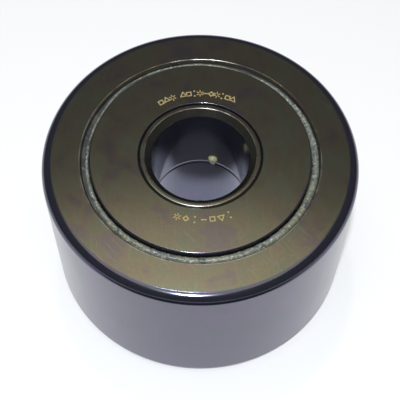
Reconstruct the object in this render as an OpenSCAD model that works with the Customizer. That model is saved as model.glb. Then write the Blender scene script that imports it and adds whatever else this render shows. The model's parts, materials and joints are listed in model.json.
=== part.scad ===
// Yoke-type cam follower: a sealed track roller with a full complement of needles.
// The roller axis is Z and the origin lies on that axis at mid-width.
// The outer ring turns on the needles; the inner ring and its two end plates stand still.

/* [Outer ring] */
// Outside diameter of the roller, which runs on the cam or track
ring_d = 101.6; // [100:0.1:104]
// Width of the outer ring
ring_w = 57.15; // [56.6:0.05:57.6]
// Radius of the rounded corners of the tread
tread_corner_r = 3.175; // [1:0.025:5]
// Diameter of the counterbore that holds each seal
counterbore_d = 76.2; // [75:0.1:78]
// Bevel at the mouth of each counterbore
mouth_bevel = 0.4; // [0.1:0.1:0.8]

/* [Inner ring] */
// Diameter of the bore, which takes the stud or pin
bore_d = 31.75; // [28:0.05:32.5]
// Bevel at each end of the bore
bore_bevel = 2; // [0.5:0.05:2.2]
// Overall width, over the ends of the inner ring
overall_w = 58.7375; // [58.2:0.0125:59.2]
// Diameter of the two journals that the end plates are pressed on
journal_d = 39.7; // [39.1:0.1:42]
// Bevel at the outer end of each journal
hub_bevel = 0.8; // [0.3:0.1:1]

/* [Lubrication] */
// Width of the grease groove at the middle of the bore
groove_w = 1.8; // [1.2:0.1:5]
// Depth of the grease groove
groove_depth = 0.25; // [0.1:0.05:0.5]
// Diameter of the radial grease hole
grease_hole_d = 2.4; // [1.5:0.1:4]
// Direction of the grease hole, counted from +X
grease_hole_angle = 74; // [0:1:359]

/* [Needles] */
// Diameter of one needle
needle_d = 6.35; // [6.2:0.01:6.37]
// Length of one needle
needle_l = 47.3; // [44:0.1:47.5]
// Radius of the rounded rim at each needle end
needle_rim_r = 0.5; // [0.2:0.1:1]
// Radial clearance left at each raceway
raceway_gap = 0.02; // [0.01:0.005:0.05]

/* [End plates] */
// Diameter of each end plate
plate_d = 70.8; // [69:0.1:71.2]
// Thickness of each end plate
plate_t = 5.5; // [5.4:0.1:5.6]
// Radius of the rounded rim on an end plate's outer face
plate_rim_r = 0.4; // [0.2:0.1:0.8]

/* [Seals] */
// Inside diameter of the seal's body, beside the end plate
seal_body_d = 72.5; // [72:0.1:74]
// Depth of the seal below the outer ring's face
seal_recess = 1.5; // [0.5:0.1:2]
// Thickness of the seal's lip
seal_lip_t = 1.4; // [0.8:0.1:2]
// Clearance between the seal's lip and the end plate
seal_lip_gap = 0.12; // [0.05:0.01:0.2]

/* [Hidden] */
$fn = 128;
cut = 1;
needle_count = 28;
needle_pitch_r = 28.575;
needle_r = needle_d / 2;
outer_race_r = needle_pitch_r + needle_r + raceway_gap;
inner_race_r = needle_pitch_r - needle_r - raceway_gap;
plate_inner_z = overall_w / 2 - plate_t;
land_gap = 0.22;
land_z = plate_inner_z - land_gap;
race_bevel = 0.6;
seat_bevel = 0.2;
seal_floor_gap = 1;
seal_top_z = ring_w / 2 - seal_recess;
seal_foot_z = land_z;
seal_lip_z = land_z + seal_floor_gap;

function needle_name(i) = str("needle_", i < 10 ? "0" : "", i);

// Half section of a disc whose rims are rounded, ready to be turned about Z
module rounded_section(r, half_w, rim_r) {
    translate([0, -half_w]) square([r - rim_r, 2 * half_w]);
    translate([0, rim_r - half_w]) square([r, 2 * (half_w - rim_r)]);
    for (side = [-1, 1])
        translate([r - rim_r, side * (half_w - rim_r)]) intersection() {
            circle(r = rim_r);
            translate([0, side > 0 ? 0 : -rim_r]) square(rim_r);
        }
}

// Cutter for one counterbore in the outer ring: the seal's seat and its bevelled mouth
module counterbore_section() {
    seat_r = counterbore_d / 2;
    face_z = ring_w / 2;
    polygon([
        [0, land_z], [seat_r, land_z],
        [seat_r, face_z - mouth_bevel], [seat_r + mouth_bevel + cut, face_z + cut],
        [0, face_z + cut]
    ]);
}

// Thick outer ring: rounded tread, smooth raceway and a seat for a seal at each end
module outer_ring() {
    color("#55565c") rotate_extrude() difference() {
        rounded_section(ring_d / 2, ring_w / 2, tread_corner_r);
        translate([-cut, -ring_w]) square([outer_race_r + cut, 2 * ring_w]);
        for (side = [0, 1]) mirror([0, side]) {
            counterbore_section();
            polygon([
                [outer_race_r - cut, land_z - race_bevel - cut], [outer_race_r - cut, land_z + cut],
                [outer_race_r + race_bevel + cut, land_z + cut]
            ]);
        }
    }
}

// Inner ring: raceway between two journals, bore with bevelled ends, groove and grease hole
module inner_ring() {
    bore_r = bore_d / 2;
    journal_r = journal_d / 2;
    half_w = overall_w / 2;
    groove_r = (pow(groove_w / 2, 2) + pow(groove_depth, 2)) / (2 * groove_depth);
    upper_outline = [
        [inner_race_r, plate_inner_z], [journal_r, plate_inner_z], [journal_r, half_w - hub_bevel],
        [journal_r - hub_bevel, half_w], [bore_r + bore_bevel, half_w], [bore_r, half_w - bore_bevel]
    ];
    lower_outline = [for (i = [len(upper_outline) - 1 : -1 : 0]) [upper_outline[i][0], -upper_outline[i][1]]];
    color("#4c4b43") difference() {
        rotate_extrude() difference() {
            polygon(concat(upper_outline, lower_outline));
            translate([bore_r + groove_depth - groove_r, 0]) circle(r = groove_r);
        }
        rotate([0, 90, grease_hole_angle]) cylinder(d = grease_hole_d, h = inner_race_r + cut);
    }
}

// End plate pressed on a journal; it keeps the needles in and the outer ring in line
module end_plate() {
    plate_r = plate_d / 2;
    seat_r = journal_d / 2;
    color("#5a574c") rotate_extrude() translate([0, overall_w / 2]) difference() {
        union() {
            translate([seat_r, -plate_t]) square([plate_r - plate_rim_r - seat_r, plate_t]);
            translate([seat_r, -plate_t]) square([plate_r - seat_r, plate_t - plate_rim_r]);
            translate([plate_r - plate_rim_r, -plate_rim_r]) circle(r = plate_rim_r);
        }
        polygon([
            [seat_r - cut, -seat_bevel - cut], [seat_r, -seat_bevel],
            [seat_r + seat_bevel, 0], [seat_r + seat_bevel + cut, cut], [seat_r - cut, cut]
        ]);
    }
}

// Seal ring seated in the outer ring, with a lip that reaches in towards the end plate
module seal_ring() {
    lip_r = plate_d / 2 + seal_lip_gap;
    seat_r = counterbore_d / 2;
    color("#6b6c66") rotate_extrude() union() {
        translate([seal_body_d / 2, seal_foot_z]) square([seat_r - seal_body_d / 2, seal_top_z - seal_foot_z]);
        translate([lip_r, seal_lip_z]) square([seat_r - lip_r, seal_lip_t]);
    }
}

module top_seal() seal_ring();
module bottom_seal() mirror([0, 0, 1]) seal_ring();
module top_end_plate() end_plate();
module bottom_end_plate() mirror([0, 0, 1]) end_plate();

// One needle, numbered from 1 at +X
module needle(i) {
    color("#b9bcc2") rotate(360 * (i - 1) / needle_count) translate([needle_pitch_r, 0, 0])
        rotate_extrude() rounded_section(needle_r, needle_l / 2, needle_rim_r);
}

outer_ring();
top_seal();
bottom_seal();
inner_ring();
top_end_plate();
bottom_end_plate();
for (i = [1 : needle_count])
    needle(i);
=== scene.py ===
import json
from math import atan2, cos, pi, radians, sin

import bmesh
import bpy
from mathutils import Matrix, Vector, noise


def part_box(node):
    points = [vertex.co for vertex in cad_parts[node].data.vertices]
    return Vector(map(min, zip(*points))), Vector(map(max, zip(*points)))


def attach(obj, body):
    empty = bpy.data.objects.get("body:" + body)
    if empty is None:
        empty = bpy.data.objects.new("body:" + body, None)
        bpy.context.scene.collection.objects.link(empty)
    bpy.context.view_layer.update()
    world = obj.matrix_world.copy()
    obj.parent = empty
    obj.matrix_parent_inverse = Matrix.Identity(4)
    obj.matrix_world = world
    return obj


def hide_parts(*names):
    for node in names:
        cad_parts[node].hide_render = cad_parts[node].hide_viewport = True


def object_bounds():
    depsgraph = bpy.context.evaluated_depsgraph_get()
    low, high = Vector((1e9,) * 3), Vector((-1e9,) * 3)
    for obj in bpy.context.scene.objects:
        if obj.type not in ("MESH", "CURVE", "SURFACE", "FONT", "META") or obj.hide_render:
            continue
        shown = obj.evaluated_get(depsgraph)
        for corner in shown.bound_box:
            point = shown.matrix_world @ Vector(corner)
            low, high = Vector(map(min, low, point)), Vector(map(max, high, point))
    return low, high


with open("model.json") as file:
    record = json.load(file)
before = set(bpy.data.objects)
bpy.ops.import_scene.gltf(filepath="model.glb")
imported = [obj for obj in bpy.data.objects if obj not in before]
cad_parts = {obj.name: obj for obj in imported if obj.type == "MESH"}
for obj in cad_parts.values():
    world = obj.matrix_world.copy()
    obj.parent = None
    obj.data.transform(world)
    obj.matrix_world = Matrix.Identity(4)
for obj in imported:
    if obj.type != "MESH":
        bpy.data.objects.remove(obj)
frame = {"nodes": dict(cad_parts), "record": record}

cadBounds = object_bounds()
scene = bpy.context.scene
mm = 0.001


# a socket that can stand in sums, so shader maths reads like ordinary maths
class Wire:
    def __init__(self, shader, socket):
        self.shader = shader
        self.socket = socket

    def maths(self, operation, first, second=0.0):
        return self.shader.add("ShaderNodeMath", {"operation": operation}, {0: first, 1: second})

    def __add__(self, other):
        return self.maths("ADD", self, other)

    def __radd__(self, other):
        return self.maths("ADD", other, self)

    def __sub__(self, other):
        return self.maths("SUBTRACT", self, other)

    def __rsub__(self, other):
        return self.maths("SUBTRACT", other, self)

    def __mul__(self, other):
        return self.maths("MULTIPLY", self, other)

    def __rmul__(self, other):
        return self.maths("MULTIPLY", other, self)

    def root(self):
        return self.maths("SQRT", self)

    def size(self):
        return self.maths("ABSOLUTE", self)

    def atLeast(self, other):
        return self.maths("MAXIMUM", self, other)


class Shader:
    def __init__(self, name):
        self.material = bpy.data.materials.new(name)
        self.material.use_nodes = True
        self.nodes = self.material.node_tree.nodes
        self.links = self.material.node_tree.links
        self.nodes.clear()

    # every node comes from here: its settings first, then values or links for its sockets
    def add(self, kind, settings=None, values=None, output=0):
        node = self.nodes.new(kind)
        for key, value in (settings or {}).items():
            setattr(node, key, value)
        for key, value in (values or {}).items():
            if isinstance(value, Wire):
                self.links.new(value.socket, node.inputs[key])
            else:
                node.inputs[key].default_value = value
        return Wire(self, node.outputs[output]) if len(node.outputs) else None

    def place(self):
        return self.add("ShaderNodeTexCoord", output="Object")

    def split(self, vector):
        first = self.add("ShaderNodeSeparateXYZ", values={"Vector": vector})
        return [Wire(self, socket) for socket in first.socket.node.outputs]

    def join(self, x, y, z):
        return self.add("ShaderNodeCombineXYZ", values={"X": x, "Y": y, "Z": z})

    def clouds(self, place, scale, detail=2.0, roughness=0.5, distortion=0.0):
        return self.add("ShaderNodeTexNoise", {"noise_dimensions": "3D"}, {
            "Vector": place, "Scale": scale, "Detail": detail, "Roughness": roughness,
            "Distortion": distortion})

    def ease(self, value, low, high, start=0.0, end=1.0):
        return self.add("ShaderNodeMapRange", {"interpolation_type": "SMOOTHSTEP"}, {
            "Value": value, "From Min": low, "From Max": high, "To Min": start, "To Max": end})

    def mix(self, amount, first, second, blend="MIX"):
        return self.add("ShaderNodeMix", {"data_type": "RGBA", "blend_type": blend}, {
            0: amount, 6: first, 7: second}, output=2)

    def bump(self, height, strength, distance):
        return self.add("ShaderNodeBump", values={
            "Height": height, "Strength": strength, "Distance": distance})

    def finish(self, values):
        surface = self.add("ShaderNodeBsdfPrincipled", values=values)
        self.add("ShaderNodeOutputMaterial", values={"Surface": surface})
        return self.material


def tone(red, green, blue):
    return (red, green, blue, 1.0)


cameraLook = {
    "lens": 90.84, "sensor": 36.0,
    "distance": 346.0 * mm, "elevation": radians(59.95),
    "aim": 0.3 * mm, "roll": radians(0.47), "near": 0.01}

camera = bpy.data.objects.new("Camera", bpy.data.cameras.new("Camera"))
scene.collection.objects.link(camera)
camera.data.lens = cameraLook["lens"]
camera.data.sensor_width = cameraLook["sensor"]
camera.data.clip_start = cameraLook["near"]
camera.location = (0, -cameraLook["distance"] * cos(cameraLook["elevation"]),
                   cameraLook["aim"] + cameraLook["distance"] * sin(cameraLook["elevation"]))
camera.rotation_mode = "QUATERNION"
towards = Vector((0, 0, cameraLook["aim"])) - camera.location
camera.rotation_quaternion = (towards.to_track_quat("-Z", "Y").to_matrix()
                              @ Matrix.Rotation(cameraLook["roll"], 3, "Z")).to_quaternion()
scene.camera = camera
scene.view_settings.view_transform = "Standard"

floorLook = {"paper": tone(0.94, 0.945, 0.95), "rough": 0.85, "shine": 0.2, "radius": 2.2}

floorLevel = cadBounds[0][2]
floorMesh = bpy.data.meshes.new("Floor")
floorWork = bmesh.new()
bmesh.ops.create_circle(floorWork, cap_ends=True, segments=96, radius=floorLook["radius"])
bmesh.ops.translate(floorWork, verts=floorWork.verts, vec=(0, 0, floorLevel))
floorWork.to_mesh(floorMesh)
floorWork.free()
floor = bpy.data.objects.new("Floor", floorMesh)
scene.collection.objects.link(floor)


def floorPaper():
    s = Shader("Pale paper")
    return s.finish({"Base Color": floorLook["paper"], "Roughness": floorLook["rough"],
                     "Specular IOR Level": floorLook["shine"]})


floor.data.materials.append(floorPaper())

# a dark card on the table in front, which only shows in reflections: painted shade standing
# in for the shadow on the table in front; it fades into the paper at its sides and its far end
shadeCardLook = {"edge": -88 * mm, "deep": 0.6, "wide": 0.9, "lift": 0.3 * mm,
            "sideFade": (0.09, 0.34), "farFade": (0.24, 0.52), "dark": tone(0.02, 0.02, 0.024)}


def paintShadeCard():
    s = Shader("Painted shade card")
    x, y, z = s.split(s.place())
    fade = s.ease(x.size(), *shadeCardLook["sideFade"]).atLeast(s.ease(y.size(), *shadeCardLook["farFade"]))
    return s.finish({"Base Color": s.mix(fade, shadeCardLook["dark"], floorLook["paper"]),
                     "Roughness": floorLook["rough"], "Specular IOR Level": floorLook["shine"]})


def makeShadeCard():
    look = shadeCardLook
    work = bmesh.new()
    bmesh.ops.create_grid(work, x_segments=1, y_segments=1, size=0.5)
    bmesh.ops.scale(work, verts=work.verts, vec=(look["wide"], look["deep"], 1))
    bmesh.ops.translate(work, verts=work.verts,
                        vec=(0, look["edge"] - look["deep"] / 2, floorLevel + look["lift"]))
    mesh = bpy.data.meshes.new("Painted shade card")
    work.to_mesh(mesh)
    work.free()
    mesh.materials.append(paintShadeCard())
    card = bpy.data.objects.new("Painted shade card", mesh)
    scene.collection.objects.link(card)
    for kind in ("camera", "diffuse", "transmission", "volume_scatter", "shadow"):
        setattr(card, "visible_" + kind, False)


makeShadeCard()

# each light: how far it leans from straight up, towards +Y if positive, its distance and its size
lights = {
    "Key": {"lean": -20.5, "side": -3.0, "away": 1.0, "across": 0.08, "watts": 9.5,
            "colour": (0.93, 0.96, 1.0)},
    "Back spark": {"lean": 14.0, "side": -2.0, "away": 1.1, "across": 0.05, "watts": 0.6,
                   "colour": (0.95, 0.97, 1.0)},
    "Overhead": {"lean": 5.0, "side": -1.5, "away": 1.2, "across": 1.02, "watts": 3.12,
                 "colour": (1.0, 0.93, 0.74)}}


def addLight(name, look):
    lamp = bpy.data.lights.new(name, "AREA")
    lamp.shape = "DISK"
    lamp.size = look["across"]
    lamp.energy = look["watts"]
    lamp.color = look["colour"]
    place = bpy.data.objects.new(name, lamp)
    scene.collection.objects.link(place)
    lean, side = radians(look["lean"]), radians(look["side"])
    place.location = look["away"] * Vector((sin(side), sin(lean), cos(lean) * cos(side)))
    place.rotation_euler = (-place.location).to_track_quat("-Z", "Y").to_euler()


for name, look in lights.items():
    addLight(name, look)

roomLook = {"Color": tone(0.80, 0.83, 0.88), "Strength": 0.09}

world = bpy.data.worlds.new("Room")
world.use_nodes = True
for key, value in roomLook.items():
    world.node_tree.nodes["Background"].inputs[key].default_value = value
scene.world = world
print("stage: camera, floor and lights")

# every turned piece has this many flats round its axis
steps = 256
sharpAngle = radians(40)


# closes a section through the given (radius, height, rounding) corners and turns it about Z
def turn(corners, turns=steps, roundSteps=8):
    work = bmesh.new()
    rim = [work.verts.new((radius, 0, height)) for radius, height, rounding in corners]
    for here, there in zip(rim, rim[1:] + rim[:1]):
        work.edges.new((here, there))
    for vert, (radius, height, rounding) in zip(rim, corners):
        if rounding:
            bmesh.ops.bevel(work, geom=[vert], offset=rounding, offset_type="OFFSET",
                            affect="VERTICES", segments=roundSteps, profile=0.5, material=-1)
    bmesh.ops.spin(work, geom=work.verts[:] + work.edges[:], cent=(0, 0, 0), axis=(0, 0, 1),
                   angle=2 * pi, steps=turns, use_merge=True)
    bmesh.ops.remove_doubles(work, verts=work.verts, dist=1e-7)
    bmesh.ops.recalc_face_normals(work, faces=work.faces)
    return work


def addPiece(name, work, materials, body, replaces=(), choose=None):
    mesh = bpy.data.meshes.new(name)
    for face in work.faces:
        face.smooth = True
        if choose:
            face.material_index = choose(face)
    work.to_mesh(mesh)
    work.free()
    for material in materials:
        mesh.materials.append(material)
    piece = bpy.data.objects.new(name, mesh)
    scene.collection.objects.link(piece)
    mesh.set_sharp_from_angle(angle=sharpAngle)
    weighting = piece.modifiers.new("Weighted normals", "WEIGHTED_NORMAL")
    weighting.keep_sharp = True
    weighting.weight = 100
    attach(piece, body)
    if replaces:
        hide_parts(*replaces)
    return piece


def high(node):
    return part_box(node)[1]


def low(node):
    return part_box(node)[0]


boreRadius = next(m for m in frame["record"]["mounts"] if m["name"] == "bore")["dims"]["r_mm"] * mm


# the olive of the faces is partly painted: it stands in for the reflection of the warm ceiling
oxideLook = {
    "olive": (0.190, 0.176, 0.128), "brown": (0.205, 0.165, 0.130),
    "green": (0.165, 0.176, 0.132), "violet": (0.165, 0.150, 0.150),
    "cloud": 55.0, "patch": 130.0, "speck": 1400.0,
    "rough": 0.17, "roughSpread": 0.05, "metallic": 0.9, "scratch": 0.22,
    "grain": 5200.0, "grainBump": 0.08,
    "scratchTone": (0.33, 0.32, 0.30), "wornTone": (0.42, 0.41, 0.39)}


# black oxide on ground steel; grain runs round the axis, counted by radius or by height, and
# each worn rim is given as its radius, its height and how far the wear reaches
def blackOxide(name, look, grainBy="radius", wornRims=()):
    s = Shader(name)
    place = s.place()
    x, y, z = s.split(place)
    radius = (x * x + y * y).root()
    across = radius if grainBy == "radius" else z
    clouds = s.clouds(place, look["cloud"], 3.0, 0.55, 0.6)
    patches = s.clouds(place, look["patch"], 4.0, 0.6, 0.3)
    specks = s.clouds(place, look["speck"], 2.0)
    grain = s.clouds(s.join(across * look["grain"], x * 60.0, y * 60.0), 1.0, 3.0, 0.65)
    colour = s.mix(s.ease(clouds, 0.35, 0.65), tone(*look["olive"]), tone(*look["brown"]))
    colour = s.mix(s.ease(patches, 0.42, 0.68), colour, tone(*look["green"]))
    colour = s.mix(s.ease(clouds - patches, 0.02, 0.22), colour, tone(*look["violet"]))
    shade = 0.76 + 0.3 * specks + 0.18 * grain
    colour = s.mix(1.0, colour, s.join(shade, shade, shade), "MULTIPLY")
    strokes = s.clouds(s.join(x * 2300.0, y * 75.0, z * 75.0), 1.0, 2.0)
    crossing = s.clouds(s.join((x + y) * 1600.0, (x - y) * 60.0, z * 60.0), 1.0, 2.0)
    scratches = s.ease(strokes, 0.62, 0.72) + s.ease(crossing, 0.64, 0.74)
    colour = s.mix(scratches * look["scratch"], colour, tone(*look["scratchTone"]))
    rough = look["rough"] + look["roughSpread"] * (patches - 0.5) * 2.0 + 0.05 * (grain - 0.5)
    for rimRadius, rimHeight, reach in wornRims:
        inward = radius - rimRadius
        along = z.size() - rimHeight
        away = (inward * inward + along * along).root()
        worn = (1.0 - s.ease(away, reach * 0.2, reach)) * s.ease(patches, 0.40, 0.62)
        colour = s.mix(worn, colour, tone(*look["wornTone"]))
        rough = rough + 0.08 * worn
    height = grain * 0.7 + specks * 0.3
    return s.finish({
        "Base Color": colour, "Metallic": look["metallic"], "Roughness": rough,
        "Normal": s.bump(height, look["grainBump"], 0.00002)})


# copies of the oxide for the tread, the corner rounds, the bore and the plate rims: their bluer
# colour is partly painted reflection of the pale table, and the tread and corners are also
# darkened by painted shade
treadPaintedReflectionLook = dict(oxideLook, olive=(0.117, 0.110, 0.154), brown=(0.119, 0.106, 0.147),
                 green=(0.112, 0.113, 0.152), violet=(0.124, 0.110, 0.168),
                 cloud=28.0, rough=0.2, roughSpread=0.03, scratch=0.08, grainBump=0.05)
cornerPaintedReflectionLook = dict(treadPaintedReflectionLook, olive=(0.105, 0.106, 0.150), brown=(0.110, 0.100, 0.145),
                  green=(0.095, 0.106, 0.140), violet=(0.115, 0.100, 0.172), rough=0.14)
borePaintedReflectionLook = dict(treadPaintedReflectionLook, olive=(0.128, 0.132, 0.190), brown=(0.122, 0.124, 0.176),
                green=(0.120, 0.134, 0.182), violet=(0.138, 0.130, 0.205),
                rough=0.15, roughSpread=0.04, grain=2600.0, grainBump=0.10)
# a darker copy of the oxide for the bevels: its darkness is partly painted shade
bevelPaintedShadeLook = dict(oxideLook, olive=(0.112, 0.110, 0.090), brown=(0.116, 0.103, 0.088),
                 green=(0.100, 0.108, 0.088), violet=(0.100, 0.093, 0.098), rough=0.24)


def groundSteel(name, rough=0.22):
    s = Shader(name)
    place = s.place()
    x, y, z = s.split(place)
    lines = s.clouds(s.join(x * 60.0, y * 60.0, z * 4200.0), 1.0, 3.0)
    colour = s.mix(lines, tone(0.50, 0.50, 0.50), tone(0.62, 0.61, 0.60))
    return s.finish({"Base Color": colour, "Metallic": 1.0, "Roughness": rough + 0.08 * lines,
                     "Normal": s.bump(lines, 0.05, 0.00002)})


def sealRubber():
    s = Shader("Seal rubber")
    place = s.place()
    dust = s.clouds(place, 900.0, 4.0, 0.6)
    smear = s.clouds(place, 160.0, 3.0)
    colour = s.mix(s.ease(smear, 0.4, 0.7), tone(0.022, 0.023, 0.026), tone(0.060, 0.064, 0.058))
    colour = s.mix(s.ease(dust, 0.58, 0.75), colour, tone(0.16, 0.17, 0.16))
    return s.finish({"Base Color": colour, "Roughness": 0.42 + 0.25 * dust,
                     "Normal": s.bump(dust, 0.35, 0.0001)})


# grease pressed out over the seal: grey-green, dull where dusty and wet in the hollows, with
# painted shade darkening the hollows of its folds
def oldGrease():
    s = Shader("Old grease")
    place = s.place()
    crumbs = s.clouds(place, 1500.0, 4.0, 0.65, 0.4)
    folds = s.clouds(place, 420.0, 3.0, 0.55, 0.8)
    drift = s.clouds(place, 60.0, 2.0)
    colour = s.mix(s.ease(drift, 0.35, 0.65), tone(0.158, 0.172, 0.152), tone(0.165, 0.168, 0.116))
    # darker where the folds sink in the bump: painted shade in the fold hollows
    colour = s.mix(s.ease(folds, 0.32, 0.52), tone(0.055, 0.062, 0.058), colour)
    colour = s.mix(s.ease(crumbs, 0.52, 0.68), colour, tone(0.43, 0.46, 0.44))
    rough = s.ease(crumbs, 0.35, 0.7, 0.22, 0.5)
    return s.finish({"Base Color": colour, "Roughness": rough,
                     "Normal": s.bump(crumbs * 0.6 + folds * 0.6, 0.8, 0.00025)})


def freshGrease():
    s = Shader("Fresh grease")
    place = s.place()
    streaks = s.clouds(place, 700.0, 3.0, 0.5, 0.8)
    colour = s.mix(s.ease(streaks, 0.35, 0.7), tone(0.26, 0.25, 0.13), tone(0.44, 0.43, 0.28))
    return s.finish({"Base Color": colour, "Roughness": 0.22 + 0.1 * streaks,
                     "Coat Weight": 0.9, "Coat Roughness": 0.06,
                     "Normal": s.bump(streaks, 0.3, 0.0001)})


def etchedGold():
    s = Shader("Etched gold")
    place = s.place()
    burn = s.clouds(place, 3200.0, 3.0, 0.6)
    colour = s.mix(burn, tone(0.27, 0.20, 0.08), tone(0.52, 0.42, 0.19))
    return s.finish({"Base Color": colour, "Metallic": 0.25, "Roughness": 0.5 + 0.2 * burn,
                     "Normal": s.bump(burn, 0.3, 0.00003)})


ringLook = {
    "cornerRound": 3.175 * mm, "mouthBevel": 0.4 * mm, "raceBevel": 0.6 * mm,
    "raceGap": 0.02 * mm, "edgeBreak": 0.08 * mm, "wornReach": 0.35 * mm,
    "seatMargin": 0.5 * mm}

ringRadius = high("outer_ring").x
ringHalf = high("outer_ring").z
seatRadius = high("top_seal").x
landHeight = low("top_seal").z
outerRace = high("needle_01").x + ringLook["raceGap"]


def makeOuterRing():
    look = ringLook
    upper = [
        (outerRace, landHeight - look["raceBevel"], 0),
        (outerRace + look["raceBevel"], landHeight, 0),
        (seatRadius, landHeight, look["edgeBreak"]),
        (seatRadius, ringHalf - look["mouthBevel"], look["edgeBreak"]),
        (seatRadius + look["mouthBevel"], ringHalf, look["edgeBreak"]),
        (ringRadius, ringHalf, look["cornerRound"])]
    lower = [(radius, -height, rounding) for radius, height, rounding in reversed(upper)]
    work = turn(upper + lower, roundSteps=12)

    def choose(face):
        middle = face.calc_center_median()
        spread = Vector((middle.x, middle.y)).length
        if spread < seatRadius - look["seatMargin"]:
            return 2
        if spread < ringRadius - look["cornerRound"]:
            return 0
        return 3 if abs(middle.z) > ringHalf - look["cornerRound"] else 1

    rims = [(seatRadius + look["mouthBevel"], ringHalf, look["wornReach"])]
    faceOxide = blackOxide("Black oxide faces", oxideLook, wornRims=rims)
    # the tread and corner colours are partly painted reflection and shade
    treadOxide = blackOxide("Black oxide tread, painted reflection tint", treadPaintedReflectionLook, grainBy="height")
    cornerOxide = blackOxide("Black oxide corners, painted reflection tint", cornerPaintedReflectionLook, grainBy="height")
    raceSteel = groundSteel("Ground raceway")
    return addPiece("outerRing", work, [faceOxide, treadOxide, raceSteel, cornerOxide],
                    "outer_ring", ["outer_ring"], choose)


makeOuterRing()
print("outer ring")


innerLook = {
    "journal": 19.85 * mm, "hubBevel": 0.8 * mm, "boreBevel": 2.0 * mm,
    "grooveWidth": 1.8 * mm, "grooveDepth": 0.25 * mm,
    "holeAcross": 2.4 * mm, "holeAngle": radians(74), "edgeBreak": 0.14 * mm,
    "grooveEdge": 0.08 * mm, "raceEdge": 0.1 * mm, "wornReach": 0.14 * mm, "flat": 0.95}

innerHalf = high("inner_ring").z
innerRace = high("inner_ring").x
plateInner = low("top_end_plate").z


def makeInnerRing():
    look = innerLook
    groove = look["grooveWidth"] / 2
    upper = [
        (boreRadius, groove, look["grooveEdge"]),
        (boreRadius, innerHalf - look["boreBevel"], look["edgeBreak"]),
        (boreRadius + look["boreBevel"], innerHalf, look["edgeBreak"]),
        (look["journal"] - look["hubBevel"], innerHalf, look["edgeBreak"]),
        (look["journal"], innerHalf - look["hubBevel"], look["edgeBreak"]),
        (look["journal"], plateInner, 0),
        (innerRace, plateInner, look["raceEdge"])]
    lower = [(radius, -height, rounding) for radius, height, rounding in reversed(upper)]
    bottom = [(boreRadius + look["grooveDepth"], 0, groove * 0.9)]
    work = turn(bottom + upper + lower, roundSteps=6)
    wallHalf = innerHalf - look["boreBevel"]

    def choose(face):
        middle = face.calc_center_median()
        spread = Vector((middle.x, middle.y)).length
        if spread > look["journal"] + look["raceEdge"]:
            return 2
        if abs(face.normal.z) > look["flat"]:
            return 0
        return 1 if spread < boreRadius + look["grooveDepth"] and abs(middle.z) < wallHalf else 3

    rims = [(boreRadius + look["boreBevel"], innerHalf, look["wornReach"]),
            (look["journal"] - look["hubBevel"], innerHalf, look["wornReach"])]
    faceOxide = blackOxide("Black oxide hub", oxideLook, wornRims=rims)
    # the bore colour is partly painted reflection
    boreOxide = blackOxide("Black oxide bore, painted reflection tint", borePaintedReflectionLook, grainBy="height")
    raceSteel = groundSteel("Ground inner raceway")
    # the bevel colour is partly painted shade
    bevelOxide = blackOxide("Black oxide bevels, painted shade", bevelPaintedShadeLook, grainBy="height", wornRims=rims)
    piece = addPiece("innerRing", work, [faceOxide, boreOxide, raceSteel, bevelOxide],
                     "inner_assembly", ["inner_ring"], choose)
    drillHole(piece, look["holeAcross"] / 2, look["holeAngle"], innerRace)
    return piece


# drills a radial hole outwards from inside the bore, past the reach, and keeps the drilled
# mesh as the piece's own
def drillHole(piece, radius, angle, reach):
    start, length = boreRadius * 0.4, reach * 1.2
    drill = bmesh.new()
    bmesh.ops.create_cone(drill, cap_ends=True, segments=48, radius1=radius, radius2=radius,
                          depth=length)
    bmesh.ops.translate(drill, verts=drill.verts, vec=(0, 0, start + length / 2))
    bmesh.ops.rotate(drill, verts=drill.verts, matrix=Matrix.Rotation(pi / 2, 3, "Y"))
    bmesh.ops.rotate(drill, verts=drill.verts, matrix=Matrix.Rotation(angle, 3, "Z"))
    drillMesh = bpy.data.meshes.new("Drill")
    drill.to_mesh(drillMesh)
    drill.free()
    drillPiece = bpy.data.objects.new("Drill", drillMesh)
    scene.collection.objects.link(drillPiece)
    cut = piece.modifiers.new("Grease hole", "BOOLEAN")
    cut.operation = "DIFFERENCE"
    cut.solver = "EXACT"
    cut.object = drillPiece
    piece.modifiers.move(len(piece.modifiers) - 1, 0)
    bpy.context.view_layer.update()
    ready = piece.evaluated_get(bpy.context.evaluated_depsgraph_get())
    drilled = bpy.data.meshes.new_from_object(ready)
    piece.modifiers.clear()
    piece.data = drilled
    bpy.data.objects.remove(drillPiece)


makeInnerRing()
print("inner ring")


plateLook = {"rimRound": 0.4 * mm, "seatBevel": 0.2 * mm, "edgeBreak": 0.06 * mm,
             "wornInset": 0.1 * mm, "wornReach": 0.3 * mm, "flat": 0.97}

plateRadius = high("top_end_plate").x


def makeEndPlate(name, node, upright, materials):
    look = plateLook
    top = high("top_end_plate").z
    corners = [
        (innerLook["journal"], plateInner, 0),
        (innerLook["journal"], top - look["seatBevel"], 0),
        (innerLook["journal"] + look["seatBevel"], top, look["edgeBreak"]),
        (plateRadius, top, look["rimRound"]),
        (plateRadius, plateInner, look["edgeBreak"])]
    work = turn([(radius, upright * height, rounding) for radius, height, rounding in corners])
    return addPiece(name, work, materials, "inner_assembly", [node],
                    lambda face: 0 if abs(face.normal.z) > look["flat"] else 1)


plateRims = [(plateRadius - plateLook["wornInset"], innerHalf - plateLook["wornInset"],
              plateLook["wornReach"])]
plateOxide = blackOxide("Black oxide plates", oxideLook, wornRims=plateRims)
# the rim colour is partly painted reflection
rimOxide = blackOxide("Black oxide plate rims, painted reflection tint", cornerPaintedReflectionLook, grainBy="height")
makeEndPlate("topEndPlate", "top_end_plate", 1, [plateOxide, rimOxide])
makeEndPlate("bottomEndPlate", "bottom_end_plate", -1, [plateOxide, rimOxide])
print("end plates")


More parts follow.
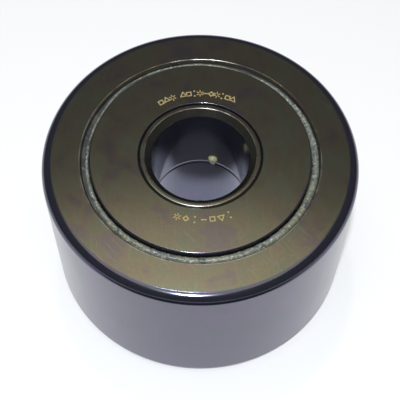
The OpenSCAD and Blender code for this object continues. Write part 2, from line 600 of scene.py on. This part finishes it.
sealLook = {"body": 36.25 * mm, "lipRise": 1.0 * mm, "lipThick": 1.4 * mm, "lipGap": 0.12 * mm,
            "round": 0.25 * mm}

sealTop = high("top_seal").z
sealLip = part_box("top_end_plate")[1].x + sealLook["lipGap"]


def makeSeal(name, node, upright, material):
    look = sealLook
    lipLow = landHeight + look["lipRise"]
    lipHigh = lipLow + look["lipThick"]
    corners = [
        (look["body"], landHeight, 0),
        (look["body"], lipLow, 0),
        (sealLip, lipLow, look["round"]),
        (sealLip, lipHigh, look["round"]),
        (look["body"], lipHigh, look["round"]),
        (look["body"], sealTop, look["round"]),
        (seatRadius, sealTop, look["round"]),
        (seatRadius, landHeight, 0)]
    work = turn([(radius, upright * height, rounding) for radius, height, rounding in corners])
    return addPiece(name, work, [material], "outer_ring", [node])


rubber = sealRubber()
makeSeal("topSeal", "top_seal", 1, rubber)
makeSeal("bottomSeal", "bottom_seal", -1, rubber)

# stations round the seal: angle, middle radius, half width and height above the seal, in mm
greaseLook = {
    "stations": [
        (-180, 36.25, 0.55, 0.80), (-150, 36.5, 0.80, 0.90), (-115, 36.75, 1.10, 1.05),
        (-60, 36.85, 1.18, 1.15), (-20, 36.85, 1.16, 1.15), (20, 36.8, 1.10, 1.15),
        (45, 36.5, 0.95, 1.10), (65, 36.3, 0.70, 0.70), (90, 37.4, 0.35, 0.20),
        (130, 37.5, 0.30, 0.10), (158, 36.3, 0.50, 0.60)],
    "turns": 900, "around": 20, "ripple": 0.16 * mm, "rippleSize": 1.1 * mm,
    "crumb": 0.13 * mm, "crumbSize": 0.42 * mm, "sink": 0.25 * mm, "underside": -0.2,
    "wallGap": 0.05 * mm, "faceGap": 0.1 * mm}


# the settings of the stations either side of an angle, blended smoothly
def stationAt(angle):
    stations = greaseLook["stations"]
    stations = stations + [(stations[0][0] + 360,) + stations[0][1:]]
    for here, there in zip(stations, stations[1:]):
        if here[0] <= angle <= there[0]:
            part = (angle - here[0]) / (there[0] - here[0])
            part = part * part * (3 - 2 * part)
            return [(a + (b - a) * part) * mm for a, b in zip(here[1:], there[1:])]


# a worm of grease lying on the seal, shaped by its stations and roughened by noise; it starts
# as a tube of radius 1, so offset and up both run from -1 to 1
def makeGreaseRing(name, upright, seed, material):
    look = greaseLook
    work = bmesh.new()
    made = bmesh.ops.create_circle(work, cap_ends=False, segments=look["around"], radius=1.0)
    bmesh.ops.rotate(work, verts=made["verts"], matrix=Matrix.Rotation(pi / 2, 3, "X"))
    bmesh.ops.translate(work, verts=made["verts"], vec=(seatRadius / mm, 0, 0))
    bmesh.ops.spin(work, geom=work.verts[:] + work.edges[:], cent=(0, 0, 0), axis=(0, 0, 1),
                   angle=2 * pi, steps=look["turns"], use_merge=True)
    bmesh.ops.remove_doubles(work, verts=work.verts, dist=1e-5)
    shift = Vector((seed, 0, 0))
    for vert in work.verts:
        spread = Vector((vert.co.x, vert.co.y))
        angle = atan2(vert.co.y, vert.co.x)
        middle, half, rise = stationAt((angle * 180 / pi + 180) % 360 - 180)
        offset, up = spread.length - seatRadius / mm, vert.co.z
        here = Vector((cos(angle), sin(angle), 0)) * middle + Vector((0, 0, up * half))
        ripple = noise.noise(here / look["rippleSize"] + shift) * look["ripple"]
        crumb = look["crumb"] * noise.noise(here / look["crumbSize"] + shift
                                            + Vector((offset * 2, 0, up * 2)))
        radius = middle + offset * (half + ripple + crumb)
        lift = rise + look["sink"] + ripple + crumb
        height = sealTop - look["sink"] + max(up, look["underside"]) * lift
        radius = min(max(radius, sealLip), seatRadius - look["wallGap"])
        height = min(height, ringHalf - look["faceGap"])
        vert.co = (radius * cos(angle), radius * sin(angle), upright * height)
    bmesh.ops.recalc_face_normals(work, faces=work.faces)
    return addPiece(name, work, [material], "outer_ring")


greaseOld = oldGrease()
makeGreaseRing("topGreaseRing", 1, 0.0, greaseOld)
makeGreaseRing("bottomGreaseRing", -1, 40.0, greaseOld)
print("seals and grease")


# a bead on the rim of the lubrication hole and the plug it grew from: radius, how far it
# stands in from the wall, how far its middle lies beyond the wall, and its height
dropLook = {"wobble": 0.08 * mm, "ripple": 0.9 * mm,
            "blobs": [(1.75 * mm, 1.45 * mm, -0.10 * mm, 2.75 * mm),
                      (1.15 * mm, 0.60 * mm, 0.10 * mm, 0.35 * mm)]}


def makeGreaseDrop():
    look = dropLook
    work = bmesh.new()
    for radius, stand, beyond, rise in look["blobs"]:
        made = bmesh.ops.create_uvsphere(work, u_segments=48, v_segments=24, radius=radius)
        for vert in made["verts"]:
            vert.co *= 1 + look["wobble"] / radius * noise.noise(vert.co / look["ripple"])
            vert.co.x *= stand / radius
        bmesh.ops.translate(work, verts=made["verts"], vec=(boreRadius + beyond, 0, rise))
    bmesh.ops.rotate(work, verts=work.verts,
                     matrix=Matrix.Rotation(innerLook["holeAngle"], 3, "Z"))
    return addPiece("greaseDrop", work, [freshGrease()], "inner_assembly")


makeGreaseDrop()
print("grease drop")


markLook = {
    "middle": 23.8 * mm, "tall": 2.9 * mm, "wide": 1.75 * mm, "stroke": 0.42 * mm,
    "proud": 0.012 * mm,
    "rows": [
        {"start": 123.0, "step": -5.0, "signs": ["square", "triangle", "spokes"]},
        {"start": 104.0, "step": -4.45,
         "signs": ["triangle", "square", "dots", "spokes", "bar", "diamond", "spokes", "dots",
                   "square", "triangle"]},
        {"start": -107.0, "step": 6.6,
         "signs": ["spokes", "diamond", "dots", "bar", "square", "triangle", "dots"]}]}


def addBar(work, across, up, wide, tall):
    made = bmesh.ops.create_grid(work, x_segments=1, y_segments=1, size=0.5)
    bmesh.ops.scale(work, verts=made["verts"], vec=(wide, tall, 1))
    bmesh.ops.translate(work, verts=made["verts"], vec=(across, up, 0))
    return made["verts"]


# an outline with 3 or 4 sides; its bridge is as wide as the stroke, measured across a side
def addOutline(work, sides, radius, stroke, spin):
    inset = stroke / cos(pi / sides)
    outside = bmesh.ops.create_circle(work, cap_ends=False, segments=sides, radius=radius)
    inside = bmesh.ops.create_circle(work, cap_ends=False, segments=sides, radius=radius - inset)
    verts = outside["verts"] + inside["verts"]
    edges = list({edge for vert in verts for edge in vert.link_edges})
    bmesh.ops.bridge_loops(work, edges=edges)
    bmesh.ops.rotate(work, verts=verts, matrix=Matrix.Rotation(spin, 3, "Z"))
    return verts


def addDot(work, across, up, radius):
    made = bmesh.ops.create_circle(work, cap_ends=True, segments=20, radius=radius)
    bmesh.ops.translate(work, verts=made["verts"], vec=(across, up, 0))
    return made["verts"]


def drawSign(work, sign):
    look = markLook
    wide, tall, stroke = look["wide"], look["tall"], look["stroke"]
    if sign == "bar":
        return addBar(work, 0, 0, wide, stroke)
    outlines = {
        "triangle": (3, tall * 0.52, stroke * 0.85, 0.0),
        "diamond": (4, wide * 0.66, stroke, 0.0),
        "square": (4, wide * 0.74, stroke * 0.9, pi / 4)}
    if sign in outlines:
        return addOutline(work, *outlines[sign])
    if sign == "spokes":
        strokes = []
        for count in range(6):
            spoke = addBar(work, 0, tall * 0.28, stroke * 0.8, tall * 0.3)
            bmesh.ops.rotate(work, verts=spoke, matrix=Matrix.Rotation(count * pi / 3, 3, "Z"))
            strokes += spoke
        return strokes
    spots = []
    for up in (-0.33, 0.33):
        spots += addDot(work, 0, up * tall, stroke * 0.75)
    return spots


def makeMarks():
    look = markLook
    work = bmesh.new()
    for row in look["rows"]:
        for count, sign in enumerate(row["signs"]):
            verts = drawSign(work, sign)
            angle = radians(row["start"] + count * row["step"])
            bmesh.ops.translate(work, verts=verts, vec=(0, look["middle"], innerHalf))
            bmesh.ops.rotate(work, verts=verts, matrix=Matrix.Rotation(angle - pi / 2, 3, "Z"))
    made = bmesh.ops.extrude_face_region(work, geom=work.faces[:])
    raised = [item for item in made["geom"] if isinstance(item, bmesh.types.BMVert)]
    bmesh.ops.translate(work, verts=raised, vec=(0, 0, look["proud"]))
    bmesh.ops.recalc_face_normals(work, faces=work.faces)
    return addPiece("etchedMarks", work, [etchedGold()], "inner_assembly")


makeMarks()
print("etched marks")


needleSteel = groundSteel("Needle steel", 0.16)
for name, node in frame["nodes"].items():
    if name.startswith("needle"):
        node.data.materials.clear()
        node.data.materials.append(needleSteel)
print("needles")
